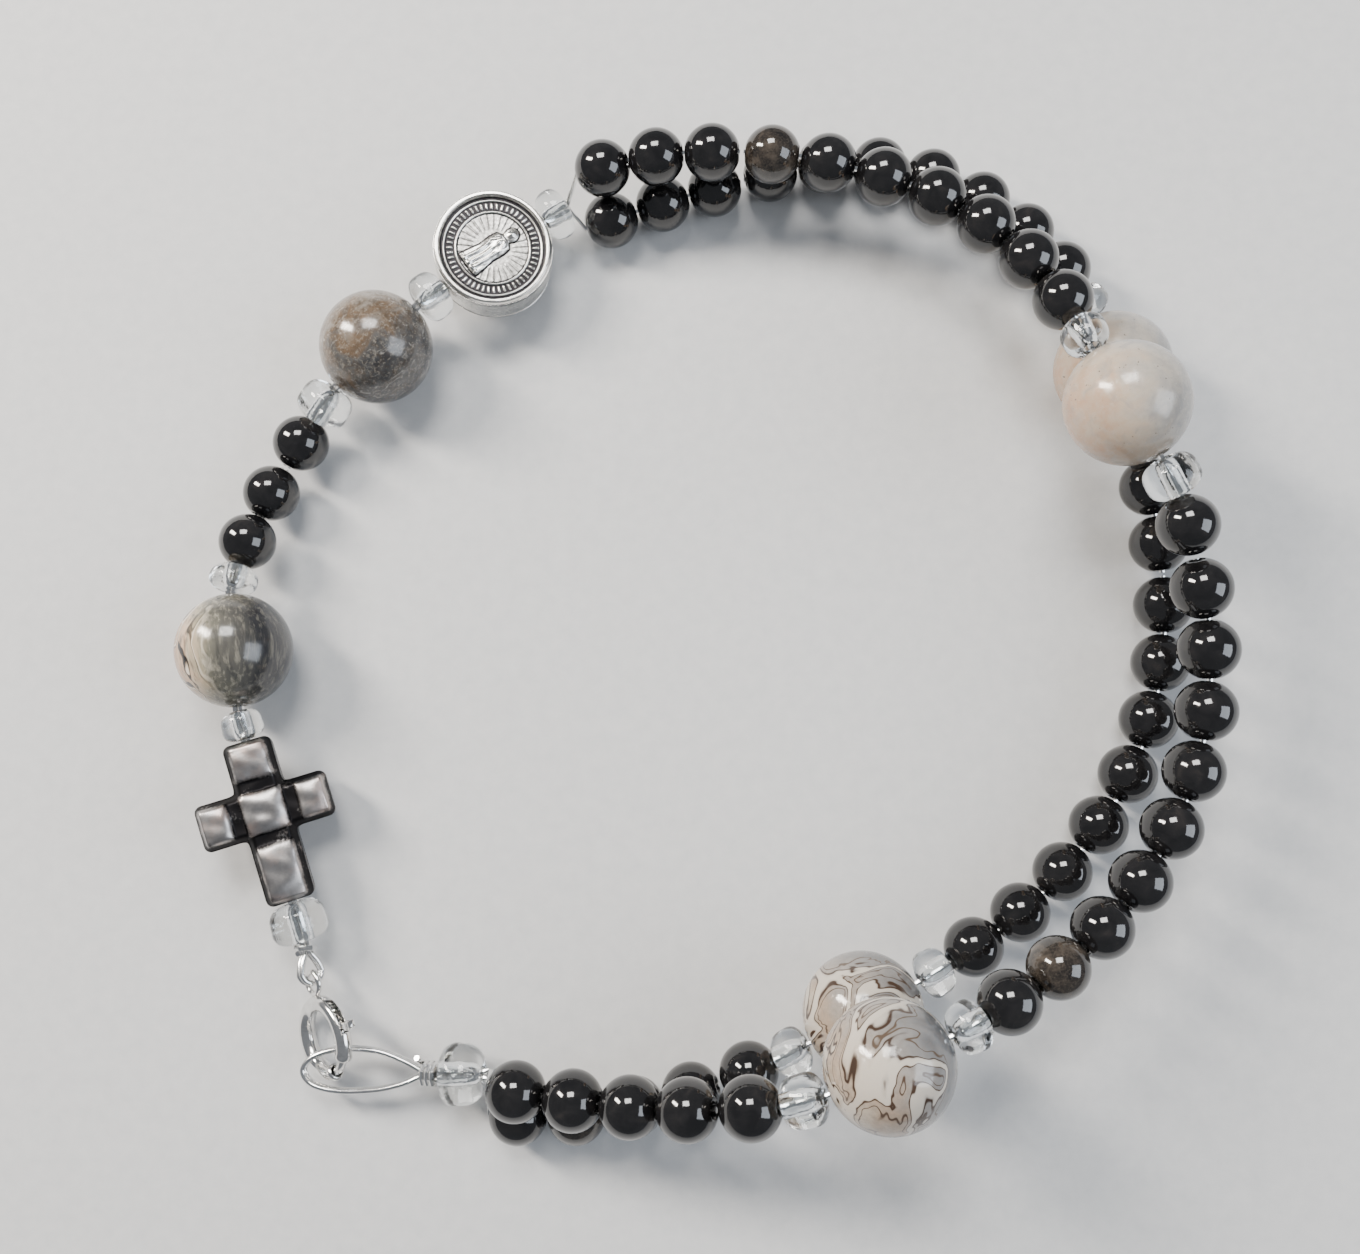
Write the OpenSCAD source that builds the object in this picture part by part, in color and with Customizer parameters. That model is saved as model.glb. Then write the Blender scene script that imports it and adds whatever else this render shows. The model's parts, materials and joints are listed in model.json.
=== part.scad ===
/* [Beads] */
// Diameter of a prayer bead
bead_d = 3.93; // [3.83:0.02:3.93]
// Diameter of a stone bead
stone_d = 7.9; // [7.6:0.05:7.9]
// Bore through every bead
bore_d = 1.0; // [0.9:0.05:1.1]

/* [Medal] */
// Diameter of the coin-shaped medal bead
medal_d = 8.4; // [8.2:0.05:8.4]
// Thickness of the medal at its rim
medal_t = 3.2; // [2.8:0.1:3.4]

/* [Cross] */
// Length of the cross bead along its bore
cross_l = 11.3; // [11.0:0.1:11.3]
// Width of the cross bead across its arms
cross_w = 8.8; // [8.0:0.1:9.0]
// Thickness of the cross bead
cross_t = 4.0; // [3.6:0.1:4.2]

/* [Wire] */
// Diameter of the stringing wire
wire_d = 0.38; // [0.3:0.02:0.38]
// Turns of wire wrapped round the neck of the end loop
wrap_turns = 3; // [2:1:3]

/* [Clasp] */
// Outer diameter of the spring ring
ring_d = 5.8; // [5.6:0.1:6.0]
// Diameter of the ring's tube
tube_d = 1.15; // [1.1:0.05:1.2]
// Angle that the spring ring leans at
clasp_lean = 43; // [40:1:46]

/* [Hidden] */
$fn = 32;

// Play between neighbouring beads where the route leaves it free, extra play at a stone bead,
// and the bare wire left each side of a bend line
play = 0.1;
stone_play = 0.3;
bend_play = 0.12;

// Bead kinds, each [kind, length along the wire, diameter]; round ones are measured rim to rim of the bore
function seat(d) = sqrt(d * d - bore_d * bore_d);
BLACK = ["black", seat(bead_d), bead_d];
STONE = ["stone", seat(stone_d) + stone_play, stone_d];
MEDAL = ["medal", medal_d, medal_d];
CROSS = ["cross", cross_l, cross_w];
function glass(d, l) = ["glass", l, d];

// Where the two strands cross above one another, so that both bend on one upright line
top_x = 4.6;
top_y = 32.2;
right_x = 33.0;
right_y = 3.1;
bottom_x = 2.8;
bottom_y = -30.6;
left_bend = [-28, 11.3, 2.3];

// Where the single strand opens into two, and where the two meet again
split = [-7.8, 30.2, 2.8];
join = [-12.7, -30.1, 3.0];

// Routes of the wire, from the clasp round to the end loop
LOW_ROUTE = [[-25.4, -21.8, 2.2], [-26.2, -19, 2.6], [-27.9, -13.6, 3.2], [-29.5, -8.2, 3.6],
    [-30.1, -6.1, 3.8], [-30.7, -2, 4.0], [-30.9, 1.9, 4.1], [-30.7, 3.8, 3.7], [-29.8, 7.5, 2.8], left_bend];
LEFT_ROUTE = [left_bend, [-26.1, 14.3, 2.7], [-24.5, 16.4, 3.6], [-21.6, 19.2, 4.0], [-18.7, 22, 4.3],
    [-17, 23.5, 4.0], [-13.5, 26.2, 3.5], [-10.1, 28.8, 3.0], split];
TOP_OVER = [split, [-6.9, 31.5, 5.1], [-3.1, 32.1, 5.8], [0.8, 32.3, 6.2], [top_x, top_y, 6.3]];
TOP_UNDER = [split, [-6.9, 28.8, 2.1], [-3.2, 30, 2.0], [0.8, 31.2, 2.0], [top_x, top_y, 2.0]];
RIGHT_OVER = [[top_x, top_y, 6.3], [8.5, 31.8, 6.3], [12.3, 30.8, 6.3], [16.1, 29.5, 6.4], [19.6, 27.5, 6.8],
    [22.5, 24.8, 7.4], [24.8, 21.6, 8.4], [26.2, 18.1, 9.6], [26.9, 16, 10.3], [28.7, 12.4, 10.6],
    [30.7, 8.8, 10.8], [31.9, 6.7, 10.1], [right_x, right_y, 8.8]];
RIGHT_UNDER = [[top_x, top_y, 2.0], [8.4, 33.2, 2.0], [12.4, 33.4, 2.0], [16.3, 32.9, 2.0], [20, 31.5, 2.0],
    [23.2, 29.3, 2.1], [25.9, 26.4, 2.5], [27.8, 23, 3.4], [28.5, 21, 3.8], [29.8, 17.1, 4.0],
    [31, 13.3, 4.1], [31.6, 11.1, 3.6], [32.5, 7.3, 2.7], [right_x, right_y, 2.2]];
DOWN_OVER = [[right_x, right_y, 8.8], [33.9, -0.3, 7.8], [34.1, -4.2, 7.2], [33.6, -8.1, 6.9],
    [32.4, -11.9, 6.8], [30.5, -15.4, 7.0], [28.1, -18.5, 7.5], [25.2, -21.1, 8.4], [22, -23.2, 9.6],
    [18.7, -24.9, 10.9], [16.8, -25.8, 11.5], [13.1, -27.5, 11.7], [9.3, -29.2, 11.9],
    [7, -30, 11.3], [bottom_x, bottom_y, 9.9]];
DOWN_UNDER = [[right_x, right_y, 2.2], [33, -0.6, 2.0], [32.4, -4.5, 2.0], [31.2, -8.3, 2.0],
    [29.4, -11.9, 2.0], [27.1, -15.2, 2.0], [24.4, -18.1, 2.1], [21.4, -20.5, 2.5], [18, -22.5, 3.4],
    [16.1, -23.6, 3.8], [12.6, -25.5, 4.0], [9.1, -27.4, 4.1], [7, -28.6, 3.6], [bottom_x, bottom_y, 2.6]];
LAST_OVER = [[bottom_x, bottom_y, 9.9], [-0.9, -31, 8.3], [-4.7, -31, 7.0], [-8.4, -30.8, 6.0],
    [-12.2, -30.4, 5.2], join];
LAST_UNDER = [[bottom_x, bottom_y, 2.6], [-1, -31.8, 2.1], [-4.8, -32.6, 2.0], [-8.7, -33, 2.0],
    [-12.4, -32.8, 2.1], [-13.3, -31.5, 2.5], join];
TAIL_ROUTE = [join, [-15.9, -30.2, 2.6]];

// What is strung on each stretch, in the same order
LOW_BEADS = [glass(4.0, 2.7), CROSS, glass(3.0, 2.0), STONE, glass(3.4, 1.7), BLACK, BLACK];
LEFT_BEADS = [BLACK, glass(4.0, 2.6), STONE, glass(3.7, 2.2), MEDAL, glass(3.7, 2.1)];
TOP_OVER_BEADS = [for (i = [1:3]) BLACK];
TOP_UNDER_BEADS = [for (i = [1:3]) BLACK];
RIGHT_OVER_BEADS = [for (i = [1:7]) BLACK, glass(3.1, 2.2), STONE, glass(3.6, 2.5), BLACK];
RIGHT_UNDER_BEADS = [for (i = [1:7]) BLACK, glass(3.2, 2.0), STONE, glass(3.2, 2.2), BLACK, BLACK];
DOWN_OVER_BEADS = [for (i = [1:9]) BLACK, glass(3.3, 2.1), STONE, glass(3.2, 2.6), BLACK];
DOWN_UNDER_BEADS = [for (i = [1:8]) BLACK, glass(3.2, 2.2), STONE, glass(3.2, 2.2), BLACK];
LAST_OVER_BEADS = [for (i = [1:4]) BLACK];
LAST_UNDER_BEADS = [for (i = [1:4]) BLACK];
TAIL_BEADS = [glass(4.2, 2.9)];

// Smooth curve through hand-placed points
curve_steps = 12;
function between(a, b, c, d, t) =
    0.5 * (2 * b + (c - a) * t + (2 * a - 5 * b + 4 * c - d) * t * t + (3 * b - a - 3 * c + d) * t * t * t);
function smooth(r, steps = curve_steps) = let (last = len(r) - 1) [
    for (i = [0:last - 1], k = [0:steps - 1])
        between(i > 0 ? r[i - 1] : 2 * r[0] - r[1], r[i], r[i + 1],
            i < last - 1 ? r[i + 2] : 2 * r[last] - r[last - 1], k / steps),
    r[last]
];
function distances(p) = [for (i = 0, s = 0; i < len(p); s = s + (i < len(p) - 1 ? norm(p[i + 1] - p[i]) : 0),
    i = i + 1) s];
// How far a stretch of the route runs straight on past each end, so that a bead can be walked over it
run_on = 8;
function table(p, d) = let (last = len(p) - 1) [for (axis = [0:2]) concat(
    [[-run_on, p[0][axis] + run_on * (p[0] - p[1])[axis] / norm(p[0] - p[1])]],
    [for (i = [0:last]) [d[i], p[i][axis]]],
    [[d[last] + run_on, p[last][axis] + run_on * (p[last] - p[last - 1])[axis] / norm(p[last] - p[last - 1])]]
)];
function at(t, s) = [for (axis = [0:2]) lookup(s, t[axis])];

// Beads are walked along the route end to end, each one straight between two knots on it.
// free says which end of the route is left bare: "none", "start" or "end"
function step_on(t, s, need) = let (a = at(t, s), s1 = s + need, s2 = s1 + need - norm(at(t, s1) - a))
    s2 + need - norm(at(t, s2) - a);
function walk(t, beads, gap, start) = let (n = len(beads))
    [for (k = 0, s = start; k <= n; s = k < n ? step_on(t, s, beads[k][1] + gap) : s, k = k + 1) s];
function settle(t, beads, whole, gap, start, free, tries = 5) =
    let (n = len(beads), s = walk(t, beads, gap, start), over = whole - s[n])
    tries == 0 || free == "end" ? s
    : free == "start" ? settle(t, beads, whole, gap, start + over, free, tries - 1)
    : settle(t, beads, whole, gap + over / n, start, free, tries - 1);
function string(route, beads, free = "none") =
    let (p = smooth(route), d = distances(p), t = table(p, d), n = len(beads),
        knots = [for (s = settle(t, beads, d[len(d) - 1] - bend_play, play, bend_play, free)) at(t, s)])
    [knots, beads, [for (k = [0:n - 1]) (knots[k] + knots[k + 1]) / 2],
        concat(free == "start" ? [p[0]] : [], knots, free == "end" ? [p[len(p) - 1]] : [])];
KNOTS = 0;
STRUNG = 1;
MIDDLES = 2;
WIRE = 3;

LOW = string(LOW_ROUTE, LOW_BEADS);
LEFT = string(LEFT_ROUTE, LEFT_BEADS);
TOP_O = string(TOP_OVER, TOP_OVER_BEADS, "start");
TOP_U = string(TOP_UNDER, TOP_UNDER_BEADS, "start");
RIGHT_O = string(RIGHT_OVER, RIGHT_OVER_BEADS);
RIGHT_U = string(RIGHT_UNDER, RIGHT_UNDER_BEADS);
DOWN_O = string(DOWN_OVER, DOWN_OVER_BEADS);
DOWN_U = string(DOWN_UNDER, DOWN_UNDER_BEADS);
LAST_O = string(LAST_OVER, LAST_OVER_BEADS, "end");
LAST_U = string(LAST_UNDER, LAST_UNDER_BEADS, "end");
TAIL = string(TAIL_ROUTE, TAIL_BEADS);

// Glass spacers in order from the clasp: [stretch, place on it]
SPACERS = [[LOW, 0], [LOW, 2], [LOW, 4], [LEFT, 1], [LEFT, 3], [LEFT, 5], [RIGHT_O, 7], [RIGHT_O, 9],
    [DOWN_O, 9], [DOWN_O, 11], [TAIL, 0], [DOWN_U, 10], [DOWN_U, 8], [RIGHT_U, 9], [RIGHT_U, 7]];
OUR_FATHERS = [[LOW, 3], [LEFT, 2], [RIGHT_O, 8], [DOWN_O, 10], [DOWN_U, 9], [RIGHT_U, 8]];
HAIL_MARYS = [[LOW, 5], [LOW, 6], [LEFT, 0]];

// Runs of prayer beads: [name, stretch, first place, last place]
BEAD_GROUPS = [
    ["decade_1_beads_1_to_3", TOP_O, 0, 2],
    ["decade_1_beads_4_to_6", RIGHT_O, 0, 2],
    ["decade_1_beads_7_to_10", RIGHT_O, 3, 6],
    ["decade_2_bead_1", RIGHT_O, 10, 10],
    ["decade_2_beads_2_to_5", DOWN_O, 0, 3],
    ["decade_2_beads_6_to_10", DOWN_O, 4, 8],
    ["decade_3_bead_1", DOWN_O, 12, 12],
    ["decade_3_beads_2_to_5", LAST_O, 0, 3],
    ["decade_3_beads_6_to_9", LAST_U, 0, 3],
    ["decade_3_bead_10", DOWN_U, 11, 11],
    ["decade_4_beads_1_to_4", DOWN_U, 4, 7],
    ["decade_4_beads_5_to_8", DOWN_U, 0, 3],
    ["decade_4_beads_9_to_10", RIGHT_U, 10, 11],
    ["decade_5_beads_1_to_3", RIGHT_U, 4, 6],
    ["decade_5_beads_4_to_7", RIGHT_U, 0, 3],
    ["decade_5_beads_8_to_10", TOP_U, 0, 2]
];

// The wire's stretches between one bend and the next
WIRE_NAMES = ["wire_cross_side", "wire_medal_side", "wire_decades_1_and_5", "wire_decades_2_and_4",
    "wire_decade_3"];

// Two wires lie side by side in the single strand, this far each side of its middle
pair_offset = wire_d / 2 + 0.01;
function unit(v) = v / norm(v);
function heading(p, i) = unit(p[min(i + 1, len(p) - 1)] - p[max(i - 1, 0)]);
function sideways(p, i, up) = unit(cross(heading(p, i), up));
function beside(p, away) = [for (i = [0:len(p) - 1]) p[i] + away * sideways(p, i, [0, 0, 1])];
function after_first(p) = [for (i = [1:len(p) - 1]) p[i]];
function before_last(p) = [for (i = [0:len(p) - 2]) p[i]];

// The wire of each stretch, over and under, cut where the bracelet bends
neck = [-17.2, -30.2, 2.2];
head_neck = [-25.28, -22.5, 2.17];
LOW_WIRE = concat([head_neck], LOW[WIRE]);
// Straight wire before the mouth of the last spacer
lead_in = 0.4;
TAIL_WIRE = concat([TAIL[KNOTS][0] + lead_in * unit(TAIL[KNOTS][0] - TAIL[KNOTS][1])], TAIL[WIRE], [neck]);
WIRES = [
    [beside(LOW_WIRE, pair_offset), beside(LOW_WIRE, -pair_offset)],
    [concat(beside(LEFT[WIRE], pair_offset), after_first(TOP_U[WIRE])),
        concat(beside(LEFT[WIRE], -pair_offset), after_first(TOP_O[WIRE]))],
    [RIGHT_O[WIRE], RIGHT_U[WIRE]],
    [DOWN_O[WIRE], DOWN_U[WIRE]],
    [concat(before_last(LAST_O[WIRE]), beside(TAIL_WIRE, pair_offset)),
        concat(before_last(LAST_U[WIRE]), beside(TAIL_WIRE, -pair_offset))]
];

// The spring ring: its middle, how it is turned, and angles round it measured from its raised side
clasp_middle = [-23.8, -28.0, 2.17];
clasp_turn = 15;
ring_r = (ring_d - tube_d) / 2;
tube_wall = 0.17;
tube_bore = tube_d - 2 * tube_wall;
bolt_d = tube_bore - 0.2;
gap_from = -75;
gap_to = -40;
socket_end = -87;
bolt_tip = -80;
bolt_tail = 22;
knob_angle = 10;
spring_tail = 96;
tube_stop = 98;
trigger_travel = 40;
slot_play = 7;
eye_r = 0.75;
eye_d = 0.4;
eye_sunk = 0.15;
eye_middle = ring_r + tube_d / 2 + eye_d / 2 + eye_r - eye_sunk;
function turned(v) =
    let (a = clasp_lean, x = v[0] * cos(a) - v[2] * sin(a), z = v[0] * sin(a) + v[2] * cos(a), b = clasp_turn)
    [x * cos(b) - v[1] * sin(b), x * sin(b) + v[1] * cos(b), z];
function on_clasp(v) = clasp_middle + turned(v);

// The loops of doubled wire at the two ends
loop_split = 0.2;
END_LOOP = [[-17.2, -30.0, 2.2], [-18.4, -29.4, 2.2], [-20.2, -28.8, 2.2], [-22.7, -28.7, 2.2],
    [-24.5, -29.2, 2.2], [-25.2, -30.1, 2.2], [-24.5, -31, 2.2], [-22.7, -31.4, 2.2],
    [-20.2, -31.3, 2.2], [-18.4, -30.9, 2.2], [-17.2, -30.4, 2.2]];
head_loop_r = 0.75;
HEAD_LOOP = concat(
    [[0.2, 2.0], [0.55, 1.4]],
    [for (a = [90:-30:-90]) head_loop_r * [sin(a), 1 - cos(a)]],
    [[-0.55, 1.4], [-0.2, 2.0]]
);

// Everything is drawn round the middle of the space it takes up, on the surface it lies on
SPHERES = [for (s = [LOW, LEFT, TOP_O, TOP_U, RIGHT_O, RIGHT_U, DOWN_O, DOWN_U, LAST_O, LAST_U])
    for (k = [0:len(s[STRUNG]) - 1]) let (b = s[STRUNG][k])
        if (b[0] == "black" || b[0] == "stone") [s[MIDDLES][k], b[2] / 2]];
function lowest(axis) = min([for (b = SPHERES) b[0][axis] - b[1]]);
function highest(axis) = max([for (b = SPHERES) b[0][axis] + b[1]]);
middle = [(lowest(0) + highest(0)) / 2, (lowest(1) + highest(1)) / 2, lowest(2)];

module centred() {
    translate(-middle) children();
}

// Puts a bead's own Z along the wire between two knots
module strung(stretch, k) {
    v = stretch[KNOTS][k + 1] - stretch[KNOTS][k];
    centred() translate(stretch[MIDDLES][k]) rotate([0, acos(v[2] / norm(v)), atan2(v[1], v[0])]) children();
}

module bore(l) {
    cylinder(d = bore_d, h = l + 2, center = true);
}

module round_bead(d) {
    difference() {
        sphere(d = d);
        bore(d);
    }
}

// A glass spacer: a short barrel with well-rounded ends
module glass_bead(d, l) {
    soft = min(l * 0.42, d * 0.2);
    difference() {
        rotate_extrude() {
            translate([d / 2 - soft, l / 2 - soft]) circle(r = soft);
            translate([d / 2 - soft, soft - l / 2]) circle(r = soft);
            translate([0, -l / 2]) square([d / 2 - soft, l]);
            translate([0, soft - l / 2]) square([d / 2, l - 2 * soft]);
        }
        bore(l);
    }
}

module spacer(i) {
    s = SPACERS[i - 1];
    b = s[0][STRUNG][s[1]];
    color("gainsboro") strung(s[0], s[1]) glass_bead(b[2], b[1]);
}

module our_father_bead(i) {
    color("darkgray") strung(OUR_FATHERS[i - 1][0], OUR_FATHERS[i - 1][1]) round_bead(stone_d);
}

module hail_mary_bead(i) {
    color("black") strung(HAIL_MARYS[i - 1][0], HAIL_MARYS[i - 1][1]) round_bead(bead_d);
}

module bead_group(g) {
    color("black") for (k = [g[2]:g[3]]) strung(g[1], k) round_bead(bead_d);
}

// Coin medal: raised rim on both faces, bored along a diameter
medal_rim = 0.35;
medal_sink = 0.3;
medal_roll = 8;
module medal() {
    color("silver") strung(LEFT, 4) rotate([0, 0, medal_roll]) difference() {
        rotate([0, 90, 0]) cylinder(d = medal_d, h = medal_t, center = true);
        for (side = [-1, 1]) translate([side * medal_t / 2, 0, 0]) rotate([0, 90, 0])
            cylinder(d = medal_d - 2 * medal_rim, h = 2 * medal_sink, center = true);
        bore(medal_d);
    }
}

// Cross bead: bars with worn, bevelled edges, bored along its length
cross_bar = 3.2;
cross_bevel = 0.5;
cross_arm_at = 0.7;
cross_roll = 15;
module bevelled(a, b, through) {
    side = (a + b - 2 * cross_bevel) / sqrt(2);
    rotate([0, 0, 45]) cube([side, side, through + 1], center = true);
}

module bar(l) {
    intersection() {
        cube([cross_t, cross_bar, l], center = true);
        bevelled(cross_t, cross_bar, l);
        rotate([0, 90, 0]) bevelled(l, cross_bar, cross_t);
        rotate([90, 0, 0]) bevelled(cross_t, l, cross_bar);
    }
}

module cross() {
    color("dimgray") strung(LOW, 1) rotate([0, 0, cross_roll]) difference() {
        union() {
            bar(cross_l);
            translate([0, 0, cross_arm_at]) rotate([90, 0, 0]) bar(cross_w);
        }
        bore(cross_l);
    }
}

// A round wire through the given points, drawn as one closed skin
wire_sides = 8;
module wire(p, d = wire_d, up = [0, 0, 1], sides = wire_sides) {
    n = len(p);
    rings = [for (i = [0:n - 1])
        let (s = sideways(p, i, up), t = cross(s, heading(p, i)))
            for (k = [0:sides - 1]) p[i] + d / 2 * (cos(360 * k / sides) * s + sin(360 * k / sides) * t)];
    faces = concat(
        [[for (k = [0:sides - 1]) k]],
        [for (i = [0:n - 2], k = [0:sides - 1])
            [i * sides + k, (i + 1) * sides + k, (i + 1) * sides + (k + 1) % sides, i * sides + (k + 1) % sides]],
        [[for (k = [sides - 1:-1:0]) (n - 1) * sides + k]]
    );
    polyhedron(points = rings, faces = faces);
}

module stringing_wire(i) {
    color("silver") centred() for (p = WIRES[i]) wire(p);
}

// Helix of wire wound round the line from a to b, with a cut tip standing out
wrap_r = 0.7;
wrap_points = 10;
module wound(a, b, turns, r, tip = 0) {
    v = unit(b - a);
    s = unit(cross(v, [0, 0, 1]));
    t = cross(s, v);
    last = turns * wrap_points;
    p = [for (i = [0:last]) a + (b - a) * i / last
        + r * (cos(360 * i / wrap_points) * s + sin(360 * i / wrap_points) * t)];
    end = tip > 0 ? [p[last] + tip * unit(s + 2 * t)] : [];
    wire(concat(p, end), up = v);
}

module end_wrap() {
    v = unit(neck - TAIL[KNOTS][1]);
    color("silver") centred() wound(neck - v * (wrap_turns * wire_d + 0.1), neck - v * 0.1, wrap_turns, wrap_r, 0.9);
}

module head_wrap() {
    a = LOW[KNOTS][0];
    v = unit(head_neck - a);
    color("silver") centred() wound(a + v * 0.25, head_neck - v * 0.1, 1, 0.62);
}

module end_loop() {
    color("silver") centred() for (side = [-1, 1])
        translate([0, 0, side * loop_split]) wire(smooth(END_LOOP, 3));
}

module head_loop() {
    lean = turned([1, 0, 0]);
    color("silver") centred() for (side = [-1, 1]) {
        p = [for (q = HEAD_LOOP) on_clasp([side * loop_split, eye_middle + q[1], q[0]])];
        wire(p, up = lean);
    }
}

module on_ring() {
    centred() translate(clasp_middle) rotate([0, 0, clasp_turn]) rotate([0, -clasp_lean, 0]) children();
}

// An arc of round rod about the ring's own axis
module arc(from, to, d) {
    rotate([0, 0, from]) rotate_extrude(angle = to - from) translate([ring_r, 0]) circle(d = d);
}

module clasp_ring() {
    slot_w = 0.5;
    color("silver") on_ring() difference() {
        arc(gap_to, gap_from + 360, tube_d);
        arc(socket_end, tube_stop, tube_bore);
        rotate([0, 0, knob_angle - slot_play]) rotate_extrude(angle = trigger_travel + 2 * slot_play)
            translate([ring_r + 0.2, -slot_w / 2]) square([tube_d, slot_w]);
    }
}

module clasp_eye() {
    color("silver") on_ring() translate([0, eye_middle, 0])
        rotate_extrude() translate([eye_r, 0]) circle(d = eye_d);
}

// Coil spring inside the ring's tube, behind the bolt
spring_turns = 9;
spring_points = 8;
spring_wire = 0.1;
module clasp_spring() {
    last = spring_turns * spring_points;
    r = tube_bore / 2 - spring_wire / 2 - 0.04;
    p = [for (i = [0:last])
        let (a = bolt_tail + 2 + (spring_tail - bolt_tail - 2) * i / last, b = 360 * i / spring_points,
            q = ring_r + r * cos(b))
            [q * cos(a), q * sin(a), r * sin(b)]];
    color("gray") on_ring() wire(p, d = spring_wire, up = [0.01, 0.02, 1], sides = 6);
}

// Curved bolt that closes the ring, with the thumb knob that draws it back
module clasp_trigger() {
    shank_d = 0.4;
    knob = [1.0, 0.6, 0.55];
    color("silver") on_ring() {
        union() {
            arc(bolt_tip, bolt_tail, bolt_d);
            rotate([0, 0, knob_angle]) translate([ring_r, 0, 0]) rotate([0, 90, 0])
                cylinder(d = shank_d, h = tube_d / 2 + 0.3);
            rotate([0, 0, knob_angle]) translate([ring_r + tube_d / 2 + 0.15 + knob[0] / 2, 0, 0])
                cube(knob, center = true);
        }
    }
}

for (i = [1:15])
    spacer(i);
for (i = [1:6])
    our_father_bead(i);
for (i = [1:3])
    hail_mary_bead(i);
cross();
medal();
for (g = BEAD_GROUPS)
    bead_group(g);
for (i = [0:len(WIRES) - 1])
    stringing_wire(i);
head_loop();
head_wrap();
end_loop();
end_wrap();
clasp_ring();
clasp_eye();
clasp_spring();
clasp_trigger();
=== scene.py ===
import json
import math

import bpy
import numpy as np
from mathutils import Matrix, Vector


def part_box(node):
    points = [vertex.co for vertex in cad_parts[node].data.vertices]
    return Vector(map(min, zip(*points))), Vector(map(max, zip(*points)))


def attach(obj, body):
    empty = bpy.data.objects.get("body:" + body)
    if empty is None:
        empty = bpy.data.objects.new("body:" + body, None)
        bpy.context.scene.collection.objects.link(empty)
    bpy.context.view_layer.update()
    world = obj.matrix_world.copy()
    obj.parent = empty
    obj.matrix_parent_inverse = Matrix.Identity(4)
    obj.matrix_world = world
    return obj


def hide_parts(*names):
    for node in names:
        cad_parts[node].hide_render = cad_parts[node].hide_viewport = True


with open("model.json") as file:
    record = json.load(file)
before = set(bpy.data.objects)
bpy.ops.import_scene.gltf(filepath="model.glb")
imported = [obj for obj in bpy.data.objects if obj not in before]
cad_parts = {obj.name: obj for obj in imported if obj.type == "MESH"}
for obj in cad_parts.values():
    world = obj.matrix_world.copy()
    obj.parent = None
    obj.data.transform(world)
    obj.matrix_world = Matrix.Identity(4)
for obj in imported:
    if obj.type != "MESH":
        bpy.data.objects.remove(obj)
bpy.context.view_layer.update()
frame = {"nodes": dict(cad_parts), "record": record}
NODES = frame["nodes"]
BODY_OF = {}
for body, nodes in frame["record"]["behaviour"]["bodies"].items():
    for node in nodes:
        BODY_OF[node] = body
MM = 0.001
UP = np.array([0.0, 0.0, 1.0])
FULL_TURN = 2 * math.pi
# Radii in mm: of every bore, within which a CAD point is on a bead's bore, and beyond which a lathed point
# is on the outside
BORE_R, NEAR_BORE_R, OUTSIDE_R = 0.5, 0.75, 0.7


def unit(v):
    v = np.asarray(v, float)
    return v / np.linalg.norm(v)


def wobble(seed, k):
    """A repeatable number between 0 and 1."""
    x = math.sin(seed * 12.9898 + k * 78.233) * 43758.5453
    return x - math.floor(x)


# ---------------------------------------------------------------- reading the CAD pieces
def triangles(node):
    """Welded points in mm and triangles of a CAD node."""
    me = NODES[node].data
    me.calc_loop_triangles()
    co = np.zeros(len(me.vertices) * 3)
    me.vertices.foreach_get("co", co)
    co = co.reshape(-1, 3) / MM
    tri = np.zeros(len(me.loop_triangles) * 3, int)
    me.loop_triangles.foreach_get("vertices", tri)
    points, back = np.unique(np.round(co, 4), axis=0, return_inverse=True)
    tri = back.reshape(-1)[tri.reshape(-1, 3)]
    good = (tri[:, 0] != tri[:, 1]) & (tri[:, 1] != tri[:, 2]) & (tri[:, 0] != tri[:, 2])
    return points, tri[good]


def islands(points, tri):
    """The separate shells of a node."""
    label = np.arange(len(points))
    while True:
        low = label[tri].min(axis=1)
        before = label.copy()
        for k in range(3):
            np.minimum.at(label, tri[:, k], low)
        label = label[label]
        if (label == before).all():
            break
    parts = []
    for name in np.unique(label[tri[:, 0]]):
        parts.append(tri[label[tri[:, 0]] == name])
    return parts


def facing(points, tri):
    """Middle, normal and area of each triangle."""
    a, b, c = (points[tri[:, k]] for k in range(3))
    n = np.cross(b - a, c - a)
    area = np.linalg.norm(n, axis=1)
    ok = area > 1e-9
    return (a + b + c)[ok] / 3, n[ok] / area[ok][:, None], area[ok] / 2


def bored(points, tri, heading):
    """Middle, axis, length and radius of a round bored bead."""
    used = points[np.unique(tri)]
    rough = (used.min(0) + used.max(0)) / 2
    mid, n, area = facing(points, tri)
    wall = np.einsum("ij,ij->i", mid - rough, n) < 0
    w = n[wall] * np.sqrt(area[wall])[:, None]
    axis = np.linalg.svd(w, full_matrices=False)[2][2]
    if axis @ heading < 0:
        axis = -axis
    along = used @ axis
    half_way = (along.min() + along.max()) / 2
    middle = rough - axis * (rough @ axis) + axis * half_way
    flat = used - np.outer(along, axis)
    rim = flat[np.linalg.norm(flat - (middle - axis * (middle @ axis)), axis=1) < NEAR_BORE_R]
    if len(rim) > 6:
        fit = np.linalg.lstsq(np.c_[2 * rim, np.ones(len(rim))], (rim ** 2).sum(1), rcond=None)[0][:3]
        middle = fit - axis * (fit @ axis) + axis * half_way
    far = np.linalg.norm(used - middle - np.outer((used - middle) @ axis, axis), axis=1)
    return middle, axis, along.max() - along.min(), far.max()


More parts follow.
